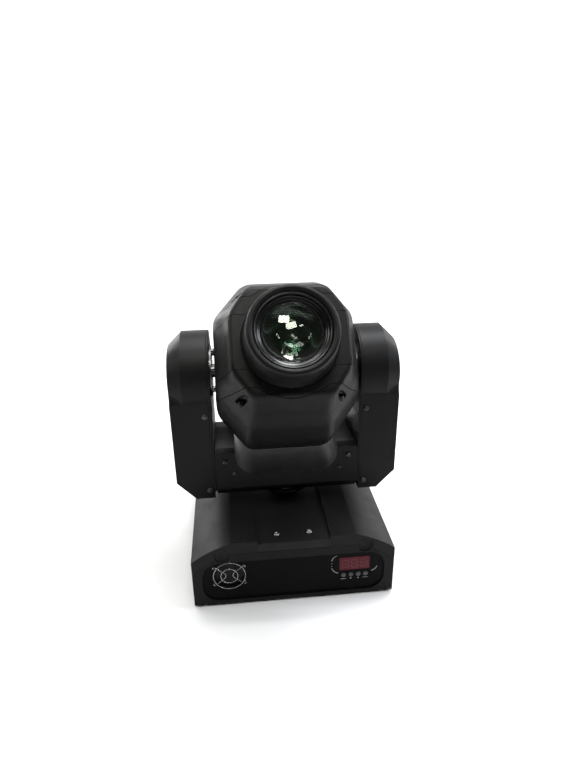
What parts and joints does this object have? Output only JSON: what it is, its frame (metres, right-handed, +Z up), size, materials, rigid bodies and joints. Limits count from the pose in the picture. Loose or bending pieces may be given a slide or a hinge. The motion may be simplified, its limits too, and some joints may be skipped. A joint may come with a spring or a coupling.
{
  "type": "moving head light",
  "caption": "Black motorised moving head spotlight: low base with display, panning U-shaped yoke and tilting lamp head with a glass front lens.",
  "frame": {"origin": "where the pan axis meets the underside of the bottom plate; the rubber feet reach 6 mm below it", "axes": "+Z up along the pan axis, +X to the right seen from the front, -Y towards the front panel; at rest the lens points to the front and 35 degrees up"},
  "size_m": [0.284, 0.2869, 0.3996],
  "materials": {
    "black_abs": "moulded, satin black, fine grain",
    "head_abs": "moulded, satin black",
    "panel_black": "smooth front panel, semi-gloss",
    "black_sheet": "powder coated sheet",
    "sheet_steel": "bent sheet steel",
    "machined_alloy": "machined",
    "gloss_black": "glossy black",
    "coated_glass": "coated lens, green and violet reflections",
    "red_window": "tinted display window",
    "board_green": "circuit board",
    "board_white": "light source board",
    "bright_wire": "plated wire and rod",
    "bright_screw": "screw heads",
    "fan_black": "fan plastic",
    "socket_black": "socket plastic",
    "button_grey": "grey push buttons",
    "motor_black": "motor housing",
    "brass_pulley": "belt pulleys",
    "black_rubber": "rubber"
  },
  "bodies": {
    "base": {"bottom_plate": "sheet_steel", "rubber_feet": "black_rubber", "left_base_cover": "black_abs", "right_base_cover": "black_abs", "deck_plate": "black_sheet", "front_panel": "panel_black", "rear_panel": "black_sheet", "display_window": "red_window", "display_board": "board_green", "fan_guard": "bright_wire", "base_fan_frame": "fan_black", "power_inlet": "socket_black", "data_sockets": "socket_black", "pan_bearing": "machined_alloy", "power_supply": "machined_alloy", "corner_caps": "gloss_black", "deck_screws": "bright_screw", "pan_motor": "motor_black", "pan_belt": "black_rubber"},
    "base_fan": {"base_fan_rotor": "fan_black"},
    "menu_key": {"menu_button": "button_grey"},
    "down_key": {"down_button": "button_grey"},
    "up_key": {"up_button": "button_grey"},
    "enter_key": {"enter_button": "button_grey"},
    "pan_drive": {"pan_motor_pulley": "brass_pulley"},
    "yoke": {"yoke_frame": "sheet_steel", "pan_tube": "sheet_steel", "pan_pulley": "brass_pulley", "front_bridge_cover": "black_abs", "rear_bridge_cover": "black_abs", "left_arm_cover": "black_abs", "right_arm_cover": "black_abs", "left_inner_cover": "black_abs", "right_inner_cover": "black_abs", "arm_screws": "bright_screw", "tilt_motor": "motor_black", "tilt_belt": "black_rubber", "tilt_bearings": "machined_alloy"},
    "tilt_drive": {"tilt_motor_pulley": "brass_pulley"},
    "head": {"head_front_shell": "head_abs", "head_bands": "head_abs", "head_lower_cover": "head_abs", "head_upper_cover": "head_abs", "head_rear_grille": "head_abs", "left_tilt_hub": "machined_alloy", "right_tilt_hub": "machined_alloy", "tilt_pulley": "brass_pulley", "lens_bezel": "gloss_black", "front_lens": "coated_glass", "led_module": "board_white", "heat_sink": "machined_alloy", "head_fan_frame": "fan_black", "wheel_motors": "motor_black", "guide_rods": "bright_wire", "head_chassis": "sheet_steel"},
    "head_fan": {"head_fan_rotor": "fan_black"},
    "colour": {"colour_wheel": "machined_alloy"},
    "gobo": {"gobo_wheel": "sheet_steel"},
    "focus": {"focus_carriage": "socket_black", "focus_lens": "coated_glass"}
  },
  "joints": [
    {"name": "pan", "type": "hinge", "parent": "base", "child": "yoke", "pos_m": [0, 0, 0.09], "axis": [0, 0, 1], "range_deg": [-270, 270]},
    {"name": "pan_motor_shaft", "type": "hinge", "parent": "base", "child": "pan_drive", "pos_m": [0, 0.074, 0.062], "axis": [0, 0, 1], "range_deg": [-1440, 1440]},
    {"name": "tilt", "type": "hinge", "parent": "yoke", "child": "head", "pos_m": [0, 0, 0.261], "axis": [1, 0, 0], "range_deg": [-175, 65]},
    {"name": "tilt_motor_shaft", "type": "hinge", "parent": "yoke", "child": "tilt_drive", "pos_m": [0.104, 0, 0.174], "axis": [1, 0, 0], "range_deg": [-610, 230]},
    {"name": "base_fan_spin", "type": "hinge", "parent": "base", "child": "base_fan", "pos_m": [-0.08, -0.1125, 0.039], "axis": [0, -1, 0], "continuous": true},
    {"name": "head_fan_spin", "type": "hinge", "parent": "head", "child": "head_fan", "pos_m": [0, 0.06144, 0.21798], "axis": [0, -0.8192, 0.5736], "continuous": true},
    {"name": "colour_wheel_spin", "type": "hinge", "parent": "head", "child": "colour", "pos_m": [0, -0.00655, 0.30221], "axis": [0, -0.8192, 0.5736], "continuous": true},
    {"name": "gobo_wheel_spin", "type": "hinge", "parent": "head", "child": "gobo", "pos_m": [0, -0.04588, 0.2565], "axis": [0, -0.8192, 0.5736], "continuous": true},
    {"name": "focus_slide", "type": "slide", "parent": "head", "child": "focus", "axis": [0, -0.8192, 0.5736], "range_m": [-0.026, 0.018]},
    {"name": "menu_press", "type": "slide", "parent": "base", "child": "menu_key", "axis": [0, 1, 0], "range_m": [0, 0.0008], "stiffness_N_per_m": 600},
    {"name": "down_press", "type": "slide", "parent": "base", "child": "down_key", "axis": [0, 1, 0], "range_m": [0, 0.0008], "stiffness_N_per_m": 600},
    {"name": "up_press", "type": "slide", "parent": "base", "child": "up_key", "axis": [0, 1, 0], "range_m": [0, 0.0008], "stiffness_N_per_m": 600},
    {"name": "enter_press", "type": "slide", "parent": "base", "child": "enter_key", "axis": [0, 1, 0], "range_m": [0, 0.0008], "stiffness_N_per_m": 600}
  ],
  "couplings": [
    {"joint": "pan_motor_shaft", "follows": "pan", "ratio": 5.25},
    {"joint": "tilt_motor_shaft", "follows": "tilt", "ratio": 3.4286}
  ]
}
